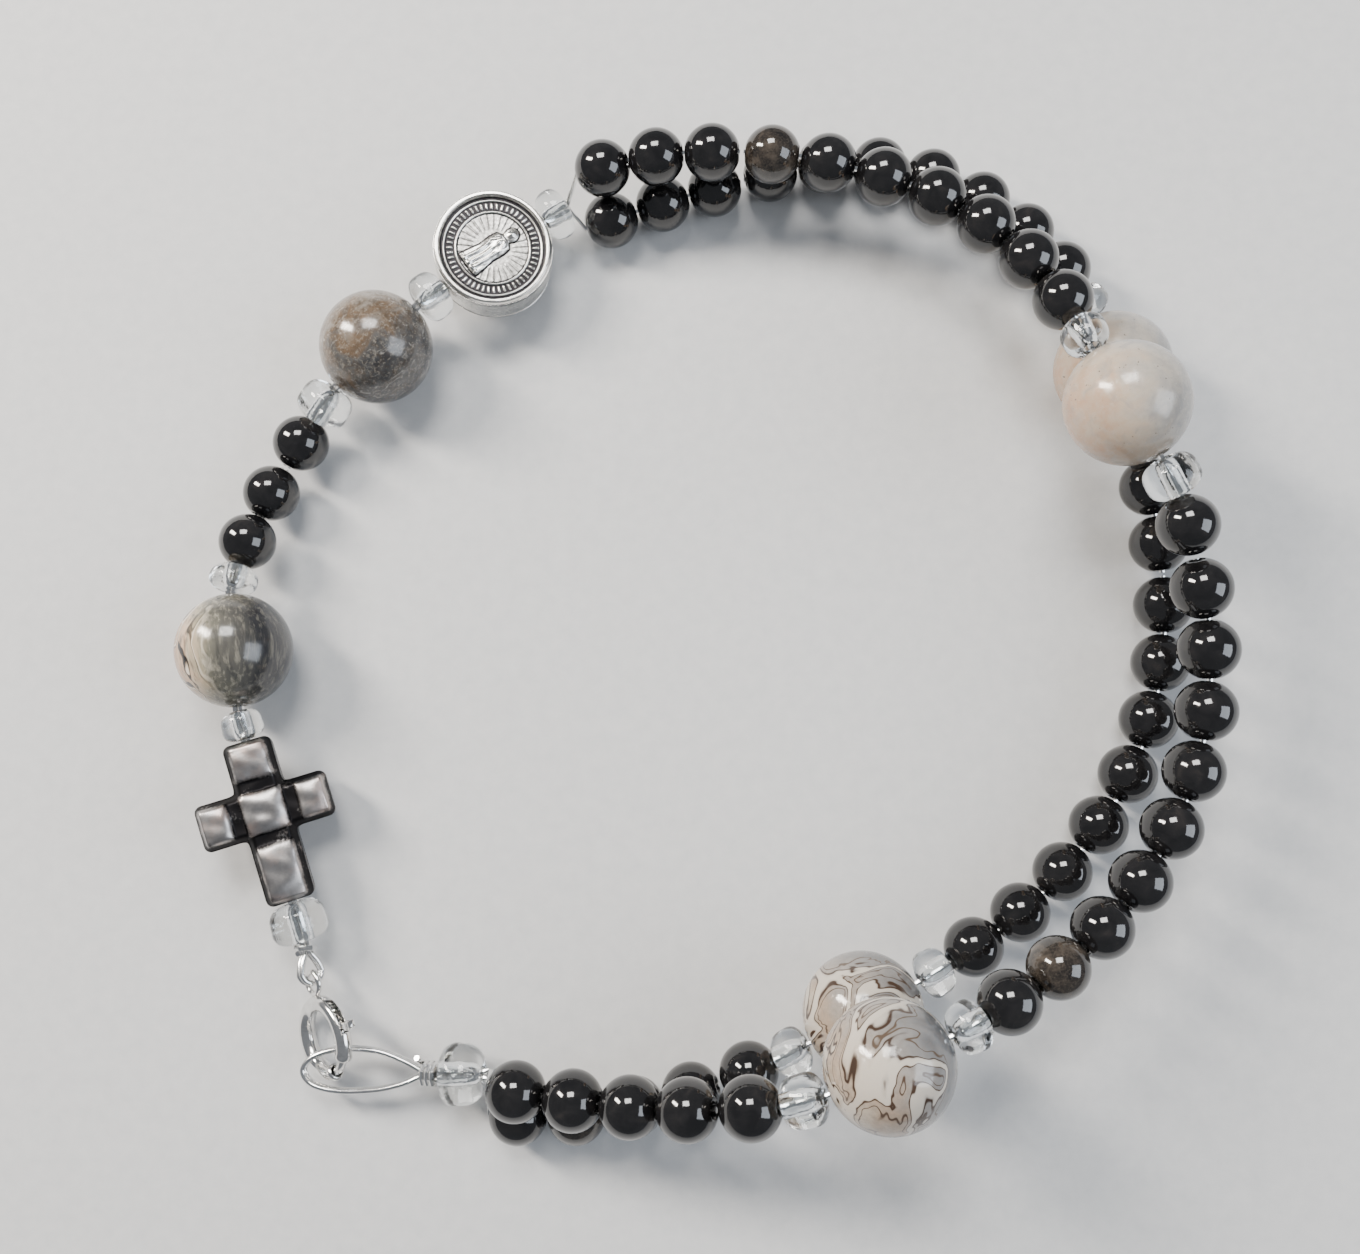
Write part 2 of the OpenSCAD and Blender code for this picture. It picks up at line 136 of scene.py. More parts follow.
def main_axes(points, tri):
    """A piece's middle and its axes, thinnest first, with the middle, normal and area of each triangle."""
    mid, normal, area = facing(points, tri)
    centre = (mid * area[:, None]).sum(0) / area.sum()
    spread = ((mid - centre) * area[:, None]).T @ (mid - centre)
    return centre, np.linalg.eigh(spread)[1], mid, normal, area


def box_middle(points, axes):
    """Middle of the box round some points, along three axes."""
    return sum(v * ((points @ v).min() + (points @ v).max()) / 2 for v in axes)


def frame_of(x, y, z, at):
    """The matrix of a frame with these axes, at a place in metres."""
    m = Matrix.Identity(4)
    for i in range(3):
        m[i][0], m[i][1], m[i][2], m[i][3] = x[i], y[i], z[i], at[i]
    return m


def pose_of(middle, axis):
    """Bead frame: Z along the bore, Y as near up as it goes, X across."""
    z = unit(axis)
    x = unit(np.cross(UP, z))
    return frame_of(x, np.cross(z, x), z, middle * MM)


# ---------------------------------------------------------------- making meshes
def place(points, m):
    """Points in mm in a piece's own frame, moved to where the piece is, still in mm."""
    r = np.array([[m[i][j] for j in range(3)] for i in range(3)])
    t = np.array([m[i][3] for i in range(3)]) / MM
    return points @ r.T + t


def build(name, points, faces, materials, body, nodes, m=None, which=None, worn=None,
          later=False, grain_at=(0, 0, 0)):
    """An object from points in mm. With m the points are in the piece's own frame.
    later leaves it in that frame, so that it can be cut before settle(). grain_at moves its pattern."""
    me = bpy.data.meshes.new(name)
    me.from_pydata((np.asarray(points) * MM).tolist(), [], [tuple(int(k) for k in f) for f in faces])
    me.validate()
    for mat in materials:
        me.materials.append(mat)
    if which is not None:
        me.polygons.foreach_set("material_index", np.asarray(which, int))
    if worn is not None:
        layer = me.attributes.new("worn", "FLOAT", "POINT")
        layer.data.foreach_set("value", np.asarray(worn, float))
    local = me.attributes.new("local", "FLOAT_VECTOR", "POINT")
    local.data.foreach_set("vector", (np.asarray(points, float) + grain_at).ravel())
    me.polygons.foreach_set("use_smooth", [True] * len(me.polygons))
    me.update()
    o = bpy.data.objects.new(name, me)
    bpy.context.scene.collection.objects.link(o)
    if m is not None:
        o.matrix_world = m
    bpy.context.view_layer.update()
    if not later:
        settle(o)
    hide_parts(*nodes)
    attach(o, body)
    return o


def settle(o):
    """Puts a piece's place into its mesh, with the object at the origin."""
    o.data.transform(o.matrix_world)
    o.matrix_world = Matrix.Identity(4)
    bpy.context.view_layer.update()


def grid_faces(n, sides):
    """Quads between n closed rings, the last joined to the first."""
    i, j = np.meshgrid(np.arange(n), np.arange(sides), indexing="ij")
    k, q = (i + 1) % n, (j + 1) % sides
    return np.stack([i * sides + j, i * sides + q, k * sides + q, k * sides + j], -1).reshape(-1, 4)


def lathe(profile, sides, warp=None):
    """A closed profile of (radius, height) turned round Z."""
    p = np.asarray(profile, float)
    n = len(p)
    a = np.arange(sides) * FULL_TURN / sides
    r = np.repeat(p[:, 0][:, None], sides, 1)
    z = np.repeat(p[:, 1][:, None], sides, 1)
    if warp is not None:
        r, z = warp(r, z, np.repeat(a[None], n, 0))
    pts = np.stack([r * np.cos(a), r * np.sin(a), z], -1).reshape(-1, 3)
    return pts, grid_faces(n, sides)


def along_path(path, radius, sides, closed=False, steady=None):
    """A round rod through points, its radius a number or one per point."""
    p = np.asarray(path, float)
    n = len(p)
    t = np.roll(p, -1, 0) - np.roll(p, 1, 0)
    if not closed:
        t[0], t[-1] = p[1] - p[0], p[-1] - p[-2]
    t /= np.linalg.norm(t, axis=1)[:, None]
    u = steady if steady is not None else (UP if abs(t[0] @ UP) < 0.9 else np.array([1.0, 0, 0]))
    rad = np.broadcast_to(np.asarray(radius, float), (n,))
    a = np.arange(sides) * FULL_TURN / sides
    rings = []
    for k in range(n):
        u = unit(u - t[k] * (u @ t[k]))
        v = np.cross(t[k], u)
        rings.append(p[k] + rad[k] * (np.cos(a)[:, None] * u + np.sin(a)[:, None] * v))
    pts = np.concatenate(rings)
    faces = []
    for k in range(n if closed else n - 1):
        b, c = k * sides, ((k + 1) % n) * sides
        for j in range(sides):
            q = (j + 1) % sides
            faces.append((b + j, b + q, c + q, c + j))
    if not closed:
        faces.append(tuple(range(sides - 1, -1, -1)))
        faces.append(tuple((n - 1) * sides + j for j in range(sides)))
    return pts, faces


def rounded_ends(path, r, round_over=0.6):
    """Radii that round off both ends of a rod, and the path with close points at the ends."""
    p = np.asarray(path, float)
    first, last = unit(p[1] - p[0]), unit(p[-1] - p[-2])
    steps = [0, 0.12, 0.35, 0.65, 1]
    head = [p[0] + first * r * round_over * s for s in steps]
    tail = [p[-1] - last * r * round_over * s for s in reversed(steps)]
    rise = [r * k for k in (0.35, 0.62, 0.85, 0.96)]
    return np.array(head + list(p[1:-1]) + tail), np.array(rise + [r] * len(p) + rise[::-1])


def spline(points, steps):
    """A smooth curve through points."""
    p = np.asarray(points, float)
    out = []
    for i in range(len(p) - 1):
        a = p[i - 1] if i else 2 * p[0] - p[1]
        b, c = p[i], p[i + 1]
        d = p[i + 2] if i + 2 < len(p) else 2 * p[-1] - p[-2]
        for k in range(steps):
            t = k / steps
            out.append(0.5 * (2 * b + (c - a) * t + (2 * a - 5 * b + 4 * c - d) * t ** 2
                              + (3 * b - a - 3 * c + d) * t ** 3))
    out.append(p[-1])
    return np.array(out)


def merged(parts):
    """Several (points, faces) pairs as one, with the number of the part of each face."""
    pts, faces, which, base = [], [], [], 0
    for k, (p, f) in enumerate(parts):
        pts.append(p)
        faces += [tuple(int(i) + base for i in q) for q in f]
        which += [k] * len(f)
        base += len(p)
    return np.concatenate(pts), faces, which


ZOOM = 100


def cut(o, cutter_points, cutter_faces, operation="DIFFERENCE"):
    """Cuts, or joins, another closed shape, given in the object's own frame in mm.
    It is done at ZOOM times the size, to keep small parts well above the solver's tolerance."""
    me = bpy.data.meshes.new("cutter")
    corners = (np.asarray(cutter_points) * MM * ZOOM).tolist()
    me.from_pydata(corners, [], [tuple(int(k) for k in f) for f in cutter_faces])
    c = bpy.data.objects.new("cutter", me)
    bpy.context.scene.collection.objects.link(c)
    c.data.update()
    o.data.transform(Matrix.Scale(ZOOM, 4))
    world = o.matrix_world.copy()
    o.matrix_world = Matrix.Identity(4)
    bpy.context.view_layer.update()
    mod = o.modifiers.new("cut", "BOOLEAN")
    mod.operation = operation
    mod.solver = "EXACT"
    mod.object = c
    dg = bpy.context.evaluated_depsgraph_get()
    out = bpy.data.meshes.new_from_object(o.evaluated_get(dg))
    o.modifiers.clear()
    old = o.data
    o.data = out
    out.transform(Matrix.Scale(1 / ZOOM, 4))
    o.matrix_world = world
    bpy.data.objects.remove(c)
    bpy.data.meshes.remove(me)
    bpy.data.meshes.remove(old)
    bpy.context.view_layer.update()


# ---------------------------------------------------------------- materials
class Look:
    """A short way to write a material's nodes. Texture positions are in mm, and with own they are in the
    piece's own frame."""

    def __init__(self, name, own=False):
        self.mat = bpy.data.materials.new(name)
        self.mat.use_nodes = True
        self.tree = self.mat.node_tree
        self.shader = self.tree.nodes["Principled BSDF"]
        if own:
            coord = self.tree.nodes.new("ShaderNodeAttribute")
            coord.attribute_name = "local"
            self.mm = coord.outputs["Vector"]
            return
        coord = self.tree.nodes.new("ShaderNodeTexCoord")
        scale = self.tree.nodes.new("ShaderNodeVectorMath")
        scale.operation = "SCALE"
        scale.inputs["Scale"].default_value = 1000
        self.tree.links.new(coord.outputs["Object"], scale.inputs[0])
        self.mm = scale.outputs[0]

    def put(self, socket, value):
        if isinstance(value, bpy.types.NodeSocket):
            self.tree.links.new(value, socket)
        elif isinstance(value, tuple) and len(value) == 3 and socket.type == "RGBA":
            socket.default_value = (*value, 1)
        else:
            socket.default_value = value

    def fixed(self, **values):
        for key, value in values.items():
            self.shader.inputs[key.replace("_", " ")].default_value = value

    def to(self, name, socket):
        self.tree.links.new(socket, self.shader.inputs[name])

    def stretch(self, scale, turn=(0, 0, 0), move=(0, 0, 0), vector=None):
        n = self.tree.nodes.new("ShaderNodeMapping")
        n.inputs["Scale"].default_value = scale
        n.inputs["Rotation"].default_value = tuple(math.radians(a) for a in turn)
        n.inputs["Location"].default_value = move
        self.put(n.inputs["Vector"], vector or self.mm)
        return n.outputs[0]

    def noise(self, scale, vector=None, detail=5, rough=0.55, bend=0.0):
        n = self.tree.nodes.new("ShaderNodeTexNoise")
        self.put(n.inputs["Vector"], vector or self.mm)
        n.inputs["Scale"].default_value = scale
        n.inputs["Detail"].default_value = detail
        n.inputs["Roughness"].default_value = rough
        n.inputs["Distortion"].default_value = bend
        return n.outputs["Fac"]

    def cells(self, scale, vector=None, edge=True):
        n = self.tree.nodes.new("ShaderNodeTexVoronoi")
        n.feature = "DISTANCE_TO_EDGE" if edge else "F1"
        self.put(n.inputs["Vector"], vector or self.mm)
        n.inputs["Scale"].default_value = scale
        return n.outputs["Distance"] if edge else n.outputs["Color"]

    def worn(self):
        n = self.tree.nodes.new("ShaderNodeAttribute")
        n.attribute_name = "worn"
        return n.outputs["Fac"]

    def part(self, vector, axis):
        n = self.tree.nodes.new("ShaderNodeSeparateXYZ")
        self.put(n.inputs[0], vector)
        return n.outputs["XYZ".index(axis)]

    def math(self, op, a, b=0.0, c=0.0):
        n = self.tree.nodes.new("ShaderNodeMath")
        n.operation = op
        for k, v in enumerate((a, b, c)):
            self.put(n.inputs[k], v)
        return n.outputs[0]

    def ramp(self, fac, *stops):
        n = self.tree.nodes.new("ShaderNodeValToRGB")
        self.put(n.inputs[0], fac)
        el = n.color_ramp.elements
        while len(el) < len(stops):
            el.new(0.5)
        for e, (at, colour) in zip(el, stops):
            e.position = at
            e.color = (*colour, 1) if isinstance(colour, tuple) else (colour, colour, colour, 1)
        return n.outputs[0]

    def mix(self, fac, a, b, mode="MIX"):
        n = self.tree.nodes.new("ShaderNodeMix")
        n.data_type = "RGBA"
        n.blend_type = mode
        self.put(n.inputs[0], fac)
        self.put(n.inputs[6], a)
        self.put(n.inputs[7], b)
        return n.outputs[2]

    def bump(self, height, strength, depth_mm, under=None):
        n = self.tree.nodes.new("ShaderNodeBump")
        n.inputs["Strength"].default_value = strength
        n.inputs["Distance"].default_value = depth_mm * MM
        self.put(n.inputs["Height"], height)
        if under is not None:
            self.put(n.inputs["Normal"], under)
        return n.outputs[0]

    def vein(self, field, level, width):
        """1 on a thin line where a field crosses a level."""
        away = self.math("ABSOLUTE", self.math("SUBTRACT", field, level))
        return self.ramp(self.math("DIVIDE", away, width), (0.35, 1.0), (1.0, 0.0))


def black_look(name, smoky):
    g = Look(name)
    cloud = g.noise(0.9, bend=0.6, detail=4)
    fine = g.noise(7.0, detail=3)
    if smoky:
        colour = g.ramp(cloud, (0.36, (0.008, 0.007, 0.0065)), (0.52, (0.026, 0.021, 0.017)),
                        (0.72, (0.075, 0.060, 0.047)))
        colour = g.mix(g.ramp(fine, (0.45, 0.0), (0.78, 0.35)), colour, (0.12, 0.10, 0.08))
    else:
        colour = g.ramp(cloud, (0.35, (0.0045, 0.0043, 0.0048)), (0.6, (0.010, 0.0095, 0.010)),
                        (0.8, (0.022, 0.019, 0.018)))
    g.to("Base Color", colour)
    scuff = g.noise(3.2, g.stretch((1, 1, 0.3), (30, 10, 0)), detail=7, rough=0.7)
    g.to("Roughness", g.ramp(scuff, (0.35, 0.045), (0.62, 0.10), (0.85, 0.24)))
    g.fixed(IOR=1.56, Coat_Weight=0.35, Coat_Roughness=0.04)
    pits = g.noise(2.2, detail=3)
    g.to("Normal", g.bump(fine, 0.06, 0.01, g.bump(pits, 0.12, 0.05)))
    return g.mat


def polished(g, colour, rough=(0.10, 0.28), pit_scale=5.0):
    g.to("Base Color", colour)
    wear = g.noise(2.4, detail=7, rough=0.65)
    g.to("Roughness", g.ramp(wear, (0.3, rough[0]), (0.75, rough[1])))
    g.fixed(IOR=1.54, Coat_Weight=0.25, Coat_Roughness=0.08, Subsurface_Weight=0.06, Subsurface_Scale=0.0006)
    g.shader.inputs["Subsurface Radius"].default_value = (1.0, 0.7, 0.5)
    pits = g.ramp(g.noise(pit_scale, detail=6, rough=0.7), (0.28, 0.0), (0.42, 1.0))
    g.to("Normal", g.bump(pits, 0.18, 0.02, g.bump(g.noise(1.1, detail=2), 0.15, 0.12)))
    return g.mat


def banded_look():
    g = Look("banded_jasper", own=True)
    warp = g.noise(0.55, g.stretch((1, 1, 0.45)), detail=4, bend=0.5)
    across = g.math("MULTIPLY_ADD", g.part(g.mm, "X"), -0.135, 0.50)
    t = g.math("ADD", across, g.math("MULTIPLY_ADD", warp, 0.5, -0.25))
    base = g.ramp(t, (0.06, (0.46, 0.27, 0.17)), (0.22, (0.60, 0.45, 0.32)), (0.34, (0.36, 0.31, 0.22)),
                  (0.46, (0.150, 0.142, 0.110)), (0.64, (0.090, 0.086, 0.076)), (0.86, (0.024, 0.024, 0.027)))
    streak = g.noise(2.3, g.stretch((1.6, 1.6, 0.22), (0, 8, 0)), detail=6, rough=0.62, bend=0.4)
    pale = g.math("MULTIPLY", g.ramp(streak, (0.50, 0.0), (0.66, 0.8)), g.ramp(t, (0.30, 0.9), (0.75, 0.25)))
    base = g.mix(pale, base, (0.50, 0.46, 0.36))
    dark = g.noise(1.7, g.stretch((1.5, 1.5, 0.25), (0, -6, 0), (3, 1, 7)), detail=6, rough=0.6)
    base = g.mix(g.ramp(dark, (0.52, 0.0), (0.70, 0.8)), base, (0.050, 0.050, 0.046))
    field = g.noise(0.42, g.stretch((1, 1, 0.6), (0, 0, 0), (2.1, 0, 4.2)), detail=2, bend=0.8)
    side = g.ramp(across, (0.22, 1.0), (0.50, 0.0))
    base = g.mix(g.math("MULTIPLY", g.vein(field, 0.53, 0.028), side), base, (0.78, 0.70, 0.58))
    base = g.mix(g.math("MULTIPLY", g.vein(field, 0.49, 0.022), side), base, (0.012, 0.010, 0.010))
    return polished(g, base)


def mottled_look():
    g = Look("mottled_jasper", own=True)
    across = g.math("MULTIPLY_ADD", g.part(g.mm, "X"), 0.10, 0.5)
    patches = g.noise(0.50, detail=4, bend=0.7)
    t = g.math("ADD", g.math("MULTIPLY", across, 0.45), g.math("MULTIPLY", patches, 0.6))
    base = g.ramp(t, (0.34, (0.030, 0.031, 0.034)), (0.46, (0.095, 0.092, 0.088)),
                  (0.56, (0.135, 0.090, 0.056)), (0.66, (0.21, 0.19, 0.165)), (0.80, (0.40, 0.25, 0.17)))
    mott = g.noise(2.0, detail=8, rough=0.7, bend=0.6)
    base = g.mix(g.ramp(mott, (0.45, 0.0), (0.66, 0.8)), base, (0.060, 0.043, 0.030))
    drawn_out = g.stretch((1.4, 1.4, 0.5), (0, 20, 10), (5, 2, 1))
    feather = g.noise(1.25, drawn_out, detail=9, rough=0.72, bend=1.3)
    base = g.mix(g.ramp(feather, (0.57, 0.0), (0.68, 0.75)), base, (0.50, 0.47, 0.42))
    crumbs = g.noise(4.5, detail=6, rough=0.7, bend=0.3)
    base = g.mix(g.ramp(crumbs, (0.52, 0.0), (0.66, 0.7)), base, (0.27, 0.24, 0.20))
    return polished(g, base)


def pale_look():
    g = Look("pale_jasper", own=True)
    across = g.math("MULTIPLY_ADD", g.part(g.mm, "X"), 0.10, 0.5)
    patches = g.noise(0.45, detail=4, bend=0.5)
    t = g.math("ADD", g.math("MULTIPLY", across, 0.6), g.math("MULTIPLY", patches, 0.5))
    base = g.ramp(t, (0.30, (0.50, 0.31, 0.20)), (0.46, (0.52, 0.41, 0.31)), (0.60, (0.40, 0.365, 0.32)),
                  (0.78, (0.23, 0.23, 0.235)))
    cloud = g.noise(1.6, detail=7, rough=0.65, bend=0.4)
    base = g.mix(g.ramp(cloud, (0.42, 0.0), (0.7, 0.6)), base, (0.52, 0.46, 0.385))
    grey = g.noise(0.9, g.stretch((1, 1, 1), (0, 0, 0), (7, 3, 2)), detail=6, bend=0.6)
    base = g.mix(g.ramp(grey, (0.52, 0.0), (0.74, 0.55)), base, (0.26, 0.25, 0.25))
    specks = g.noise(3.4, detail=2)
    base = g.mix(g.ramp(specks, (0.70, 0.0), (0.75, 0.9)), base, (0.055, 0.045, 0.040))
    return polished(g, base, (0.12, 0.32))


def map_look():
    g = Look("map_jasper", own=True)
    side = g.math("MULTIPLY_ADD", g.part(g.mm, "Z"), 0.10, 0.5)
    field = g.noise(0.20, g.stretch((1, 1, 1), (20, 0, 40), (1.3, 2.2, 0.4)), detail=3, rough=0.45, bend=1.1)
    cloud = g.noise(0.7, detail=6, bend=0.5)
    t = g.math("ADD", g.math("MULTIPLY", side, 0.62), g.math("MULTIPLY", field, 0.42))
    t = g.math("ADD", t, g.math("MULTIPLY_ADD", cloud, 0.24, -0.14))
    base = g.ramp(t, (0.22, (0.115, 0.120, 0.128)), (0.38, (0.23, 0.225, 0.22)), (0.50, (0.33, 0.30, 0.27)),
                  (0.62, (0.40, 0.30, 0.22)), (0.80, (0.56, 0.49, 0.40)))
    grain = g.noise(2.6, detail=8, rough=0.7, bend=0.3)
    base = g.mix(g.ramp(grain, (0.42, 0.0), (0.74, 0.6)), base, (0.20, 0.17, 0.145))
    inside = g.ramp(field, (0.47, 0.0), (0.50, 0.85), (0.545, 0.85), (0.57, 0.0))
    base = g.mix(inside, base, (0.62, 0.56, 0.48))
    for level, width, colour in ((0.475, 0.012, (0.050, 0.030, 0.020)), (0.56, 0.010, (0.060, 0.035, 0.022)),
                                 (0.43, 0.008, (0.10, 0.070, 0.050)), (0.62, 0.009, (0.085, 0.055, 0.038))):
        base = g.mix(g.vein(field, level, width), base, colour)
    return polished(g, base, (0.07, 0.2))


def glass_look():
    g = Look("clear_glass", own=True)
    cloud = g.noise(1.4, detail=4)
    g.to("Base Color", g.ramp(cloud, (0.3, (0.97, 0.985, 0.99)), (0.8, (0.90, 0.94, 0.96))))
    g.to("Roughness", g.ramp(g.noise(3.0, detail=6, rough=0.7), (0.35, 0.012), (0.85, 0.10)))
    g.fixed(IOR=1.50, Transmission_Weight=1.0)
    wave = g.noise(1.6, g.stretch((1, 1, 0.4)), detail=3)
    g.to("Normal", g.bump(g.noise(6, detail=3), 0.10, 0.02, g.bump(wave, 0.35, 0.12)))
    return g.mat


def metal_look(name, bright, dark, rough, brush=(0.25, 4, 4), tint=None, attribute=False, scuff_scale=5.0):
    g = Look(name, own=attribute)
    streak = g.noise(scuff_scale, g.stretch(brush), detail=8, rough=0.7)
    blotch = g.noise(1.2, detail=5, rough=0.6)
    colour = g.mix(g.ramp(blotch, (0.4, 0.0), (0.75, 0.35)), bright, dark)
    colour = g.mix(g.ramp(streak, (0.45, 0.0), (0.8, 0.25)), colour, dark)
    if tint is not None:
        patch = g.noise(0.6, g.stretch((1, 1, 1), (0, 0, 0), (4, 9, 2)), detail=3)
        colour = g.mix(g.ramp(patch, (0.48, 0.0), (0.7, 0.7)), colour, tint)
    if attribute:
        worn = g.worn()
        ragged = g.math("ADD", worn, g.math("MULTIPLY_ADD", g.noise(5.0, detail=6), 0.5, -0.25))
        colour = g.mix(g.ramp(ragged, (0.25, 1.0), (0.60, 0.0)), colour, dark)
        shine = g.math("MULTIPLY_ADD", ragged, -0.16, rough[1])
        g.to("Roughness", g.math("MAXIMUM", g.math("ADD", shine, g.math("MULTIPLY", streak, 0.12)), rough[0]))
    else:
        g.to("Roughness", g.ramp(streak, (0.3, rough[0]), (0.8, rough[1])))
    g.to("Base Color", colour)
    g.fixed(Metallic=1.0, Anisotropic=0.25)
    dents = g.bump(g.noise(1.7, detail=3), 0.18, 0.05)
    g.to("Normal", g.bump(streak, 0.12, 0.012, dents))
    return g.mat


BLACK = black_look("black_stone", False)
SMOKY = black_look("smoky_stone", True)
STONES = {"banded_jasper": banded_look(), "mottled_jasper": mottled_look(), "pale_jasper": pale_look(),
          "map_jasper": map_look()}
GLASS = glass_look()
GUNMETAL = metal_look("gunmetal", (0.46, 0.44, 0.43), (0.018, 0.017, 0.018), (0.20, 0.42), (4, 4, 0.3),
                      (0.58, 0.44, 0.38), True)
SILVER = metal_look("antique_silver", (0.84, 0.82, 0.78), (0.030, 0.028, 0.030), (0.13, 0.34), (3, 3, 0.5),
                    None, True)
WIRE = metal_look("silver_wire", (0.86, 0.86, 0.85), (0.42, 0.41, 0.40), (0.12, 0.28))
CHROME = metal_look("silver_clasp", (0.90, 0.89, 0.87), (0.36, 0.34, 0.32), (0.08, 0.22))

# ---------------------------------------------------------------- beads, stones and spacers
def way_round(points):
    """Rough heading of the string at some points: clockwise round the origin, seen from above."""
    c = points.mean(0)
    return unit([c[1], -c[0], 0])


def round_profile(radius, chamfer, steps):
    """A ball with a bore, its mouths chamfered."""
    hole = BORE_R
    lip = hole + chamfer
    a0 = math.asin(lip / radius)
    outer = [(radius * math.sin(a), -radius * math.cos(a)) for a in np.linspace(a0, math.pi - a0, steps)]
    z = radius * math.cos(a0) - chamfer * 0.8
    bevel_r, bevel_z = hole + chamfer * 0.25, z + chamfer * 0.35
    inner = [(bevel_r, bevel_z), (hole, z), (hole, z * 0.33), (hole, -z * 0.33), (hole, -z),
             (bevel_r, -bevel_z)]
    return outer + inner


def uneven(seed, amount, radius):
    """Pulls a surface in a little here and there, never out."""
    p = [wobble(seed, k) * FULL_TURN for k in range(3)]

    def warp(r, z, a):
        wave = 0.5 + 0.2 * np.sin(2 * a + p[0]) + 0.15 * np.sin(3 * a + p[1] + z / radius) \
            + 0.15 * np.sin(2.5 * z / radius + p[2])
        k = 1 - amount * np.clip(wave, 0, 1)
        return np.where(r > OUTSIDE_R, r * k, r), z * (1 - amount * 0.3)
    return warp


SMOKY_BEADS = {"decade_1_beads_4_to_6": [0], "decade_5_beads_4_to_7": [1], "decade_2_beads_6_to_10": [3],
               "decade_3_beads_6_to_9": [2]}
beads_made = 0
for node in sorted(NODES):
    if not (node.startswith("decade_") or node.startswith("hail_mary")):
        continue
    pts, tri = triangles(node)
    found = []
    for part in islands(pts, tri):
        used = pts[np.unique(part)]
        found.append(bored(pts, part, way_round(used)))
    found.sort(key=lambda b: -math.atan2(b[0][1], b[0][0]))
    parts = []
    for middle, axis, _, radius in found:
        beads_made += 1
        p, f = lathe(round_profile(radius, 0.13, 27), 48, uneven(beads_made, 0.008, radius))
        parts.append((place(p, pose_of(middle, axis)), f))
    p, f, number = merged(parts)
    which = [1 if k in SMOKY_BEADS.get(node, []) else 0 for k in number]
    build(node.replace("beads", "round_beads") if "beads" in node else node + "_round",
          p, f, [BLACK, SMOKY], BODY_OF[node], [node], which=which)

STONE_OF = {1: "banded_jasper", 2: "mottled_jasper", 3: "pale_jasper", 4: "map_jasper", 5: "map_jasper",
            6: "pale_jasper"}
for i in range(1, 7):
    node = f"our_father_bead_{i}"
    pts, tri = triangles(node)
    middle, axis, _, radius = bored(pts, tri, way_round(pts))
    p, f = lathe(round_profile(radius, 0.22, 46), 84, uneven(50 + i, 0.010, radius))
    build(f"our_father_stone_{i}", p, f, [STONES[STONE_OF[i]]], BODY_OF[node], [node],
          m=pose_of(middle, axis), grain_at=(0, 13.0 if i > 4 else 0, 0))


def spacer_profile(length, radius):
    """A barrel with soft shoulders, its bore flared at both mouths."""
    half, soft = length / 2, min(length * 0.42, radius * 0.5)
    turn = np.radians(np.linspace(0, 90, 8))
    shoulder = [(radius - soft + soft * math.cos(t), half - soft + soft * math.sin(t)) for t in turn]
    side = [(radius, -half + soft + k * 2 * (half - soft)) for k in np.linspace(0.2, 0.8, 4)]
    mouth = [(BORE_R + 0.16, half - 0.01), (BORE_R + 0.06, half - 0.06), (BORE_R, half - 0.18)]
    top = shoulder + mouth + [(BORE_R, 0.2 * half)]
    bottom = [(r, -z) for r, z in reversed(top)]
    return bottom[-len(shoulder):] + side + top + bottom[:-len(shoulder)]


def pressed_glass(seed, half, radius):
    """Makes a spacer a little lopsided, narrower here and there, with ends that lean."""
    smooth = uneven(80 + seed, 0.06, radius)
    lean, shift = wobble(seed, 9) * 6.28, wobble(seed, 5) * 6.28

    def warp(r, z, a):
        outside = r > OUTSIDE_R
        narrow = 1 - 0.05 * (0.5 + 0.5 * np.sin(2.2 * z / half + shift))
        skew = 0.05 * half * np.cos(a + lean) * (r / radius)
        near_end = np.clip(abs(z) / half, 0, 1)
        drop = np.sign(z) * near_end * (0.05 * half - skew * np.sign(z))
        return np.where(outside, smooth(r, z, a)[0] * narrow, r), z - drop * outside
    return warp


for i in range(1, 16):
    node = f"spacer_{i}"
    pts, tri = triangles(node)
    middle, axis, length, radius = bored(pts, tri, way_round(pts))
    p, f = lathe(spacer_profile(length, radius), 44, pressed_glass(i, length / 2, radius))
    build(f"glass_spacer_{i}", p, f, [GLASS], BODY_OF[node], [node], m=pose_of(middle, axis))

# ---------------------------------------------------------------- medal
def disc_grid(n):
    """Points over a disc of radius 1, in rings, and their quads."""
    c = np.linspace(-1, 1, n + 1)
    u, v = np.meshgrid(c, c, indexing="ij")
    wide = abs(u) > abs(v)
    big = np.where(wide, u, v)
    small = np.where(wide, v, u)
    with np.errstate(divide="ignore", invalid="ignore"):
        a = np.where(big == 0, 0, math.pi / 4 * small / big)
    x = np.where(wide, big * np.cos(a), big * np.sin(a))
    y = np.where(wide, big * np.sin(a), big * np.cos(a))
    i, j = np.meshgrid(np.arange(n), np.arange(n), indexing="ij")
    k = i * (n + 1) + j
    faces = np.stack([k, k + n + 1, k + n + 2, k + 1], -1).reshape(-1, 4)
    edge = [(0, j) for j in range(n)] + [(i, n) for i in range(n)] + [(n, j) for j in range(n, 0, -1)] \
        + [(i, 0) for i in range(n, 0, -1)]
    return x.ravel(), y.ravel(), faces, [i * (n + 1) + j for i, j in edge]


def step(x, low, high):
    """A smooth rise from 0 at low to 1 at high."""
    t = np.clip((x - low) / (high - low), 0, 1)
    return t * t * (3 - 2 * t)


def hill(x, at, width):
    """A smooth hump of height 1."""
    return np.exp(-((x - at) / width) ** 2)


MEDAL_R = 4.2
MEDAL_FIELD = 1.24


